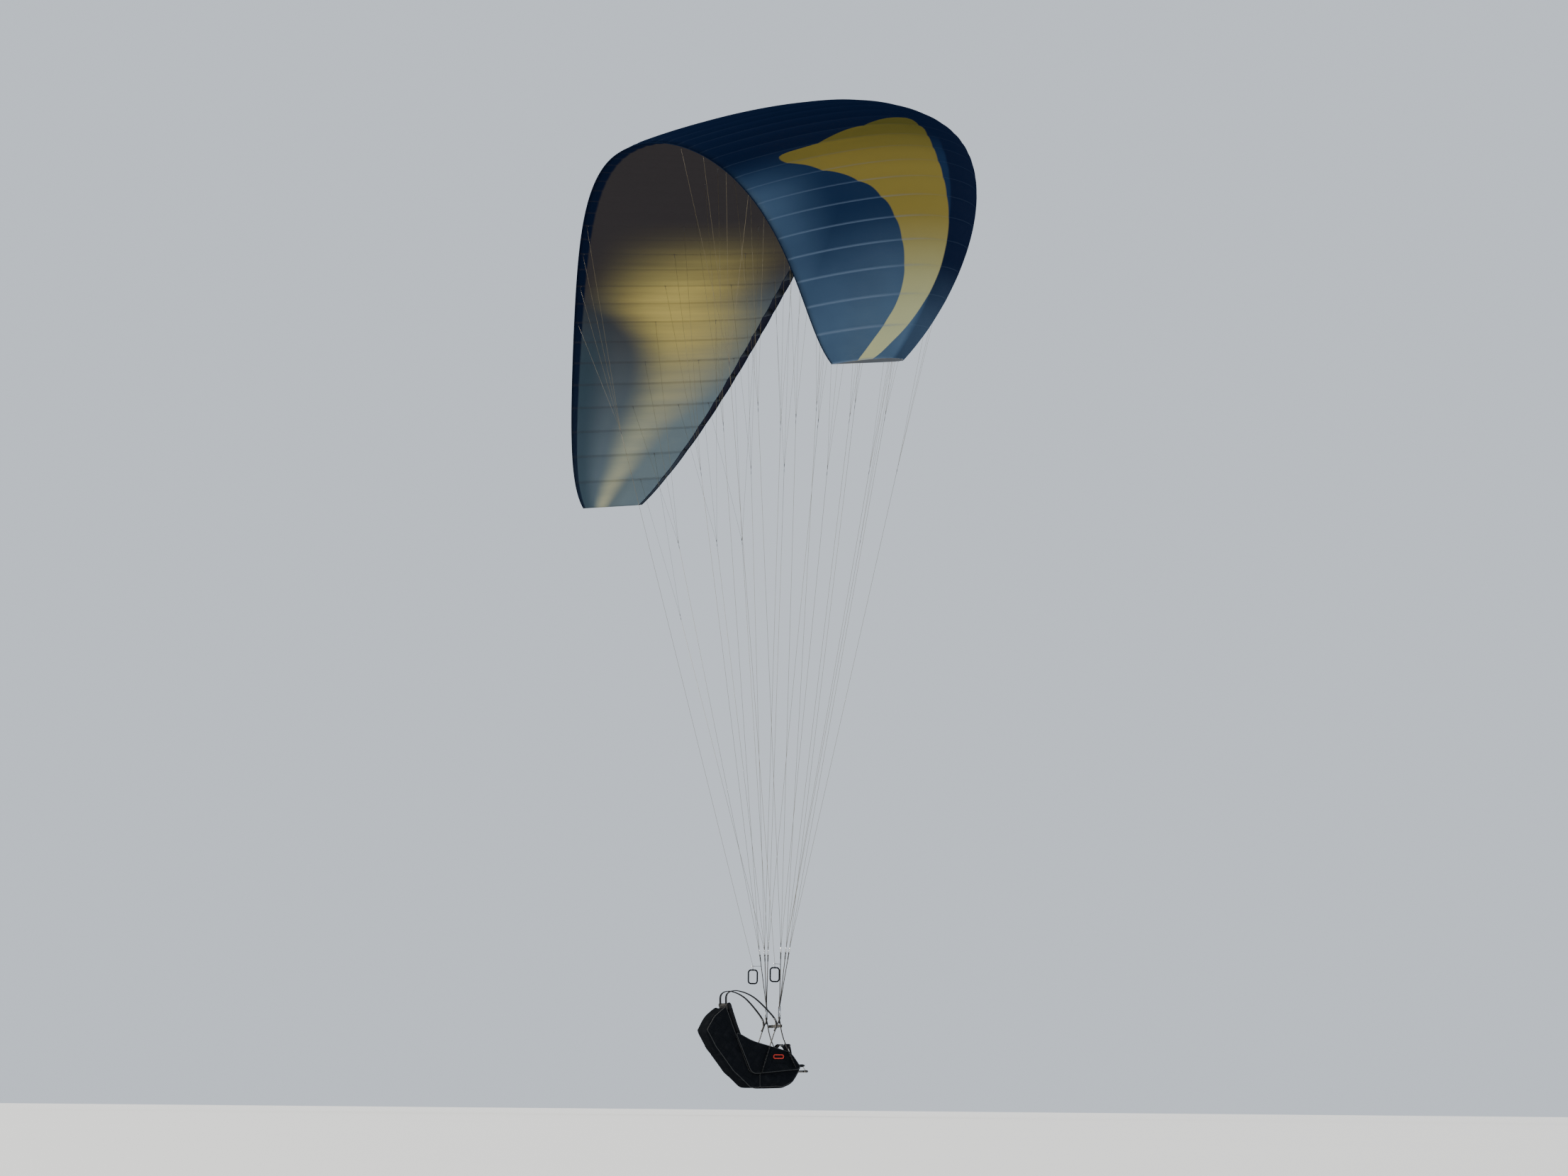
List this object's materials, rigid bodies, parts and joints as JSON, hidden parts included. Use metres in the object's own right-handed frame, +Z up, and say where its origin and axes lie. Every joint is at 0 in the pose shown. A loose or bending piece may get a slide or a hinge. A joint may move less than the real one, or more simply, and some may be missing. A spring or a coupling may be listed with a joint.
{
  "type": "paraglider",
  "caption": "Paraglider as it flies: an arched canopy of open cells on fanned lines, with risers, brakes and a seated harness hanging from two carabiners.",
  "frame": {"origin": "middle of the canopy, on its lower skin at 30 percent of the chord, where the air carries it", "axes": "+X across the span toward the pilot's left tip, +Y toward the trailing edge, nose toward -Y, +Z up as it flies"},
  "size_m": [8.9202, 2.5057, 8.4924],
  "materials": {
    "canopy_navy": "coated ripstop cloth",
    "canopy_blue": "coated ripstop cloth",
    "line": "braided",
    "webbing": "woven webbing",
    "red_webbing": "woven webbing",
    "harness_fabric": "coated pack cloth",
    "steel": "brushed",
    "alloy": "anodised",
    "buckle": "matt"
  },
  "bodies": {
    "canopy": {"canopy_centre": "canopy_navy", "canopy_inner_left": "canopy_navy", "canopy_middle_left": "canopy_navy", "canopy_outer_left": "canopy_blue", "canopy_tip_left": "canopy_blue", "canopy_inner_right": "canopy_navy", "canopy_middle_right": "canopy_navy", "canopy_outer_right": "canopy_blue", "canopy_tip_right": "canopy_blue", "lines_a_left": "line", "lines_b_left": "line", "lines_c_left": "line", "lines_a_right": "line", "lines_b_right": "line", "lines_c_right": "line", "maillon_a_left": "steel", "maillon_b_left": "steel", "maillon_c_left": "steel", "maillon_a_right": "steel", "maillon_b_right": "steel", "maillon_c_right": "steel", "riser_left": "webbing", "carabiner_left": "alloy", "brake_pulley_left": "steel", "riser_right": "webbing", "carabiner_right": "alloy", "brake_pulley_right": "steel"},
    "harness": {"seat_board": "harness_fabric", "back_pad": "harness_fabric", "reserve_container": "harness_fabric", "protector": "harness_fabric", "chest_strap": "webbing", "chest_buckle": "buckle", "reserve_handle": "red_webbing", "speed_bar": "alloy", "side_panel_left": "harness_fabric", "main_strap_left": "webbing", "shoulder_strap_left": "webbing", "leg_strap_left": "webbing", "side_panel_right": "harness_fabric", "main_strap_right": "webbing", "shoulder_strap_right": "webbing", "leg_strap_right": "webbing"},
    "brake_flap_left": {"brake_flap_left": "canopy_blue"},
    "brake_line_left": {"brake_line_left": "line"},
    "brake_handle_left": {"brake_handle_left": "webbing"},
    "brake_flap_right": {"brake_flap_right": "canopy_blue"},
    "brake_line_right": {"brake_line_right": "line"},
    "brake_handle_right": {"brake_handle_right": "webbing"}
  },
  "joints": [
    {"name": "brake_flap_left_turn", "type": "hinge", "parent": "canopy", "child": "brake_flap_left", "pos_m": [1.52083, 1.12908, -0.24503], "axis": [-0.8903, 0.0891, 0.4466], "range_deg": [0, 30], "stiffness_Nm_per_rad": 4, "springref_deg": -28.65},
    {"name": "brake_line_left_run", "type": "slide", "parent": "canopy", "child": "brake_line_left", "axis": [-0.3103, -0.1664, -0.936], "range_m": [0, 0.288]},
    {"name": "brake_handle_left_pull", "type": "slide", "parent": "canopy", "child": "brake_handle_left", "axis": [0, 0, -1], "range_m": [0, 0.288]},
    {"name": "brake_flap_right_turn", "type": "hinge", "parent": "canopy", "child": "brake_flap_right", "pos_m": [-1.52083, 1.12908, -0.24503], "axis": [-0.8903, -0.0891, -0.4466], "range_deg": [0, 30], "stiffness_Nm_per_rad": 4, "springref_deg": -28.65},
    {"name": "brake_line_right_run", "type": "slide", "parent": "canopy", "child": "brake_line_right", "axis": [0.3103, -0.1664, -0.936], "range_m": [0, 0.288]},
    {"name": "brake_handle_right_pull", "type": "slide", "parent": "canopy", "child": "brake_handle_right", "axis": [0, 0, -1], "range_m": [0, 0.288]},
    {"name": "harness_swing", "type": "hinge", "parent": "canopy", "child": "harness", "pos_m": [0, 0.25, -7.467], "axis": [1, 0, 0], "range_deg": [-40, 35]}
  ],
  "couplings": [
    {"joint": "brake_line_left_run", "follows": "brake_flap_left_turn", "m_per_rad": 0.55},
    {"joint": "brake_handle_left_pull", "follows": "brake_flap_left_turn", "m_per_rad": 0.55},
    {"joint": "brake_line_right_run", "follows": "brake_flap_right_turn", "m_per_rad": 0.55},
    {"joint": "brake_handle_right_pull", "follows": "brake_flap_right_turn", "m_per_rad": 0.55}
  ]
}
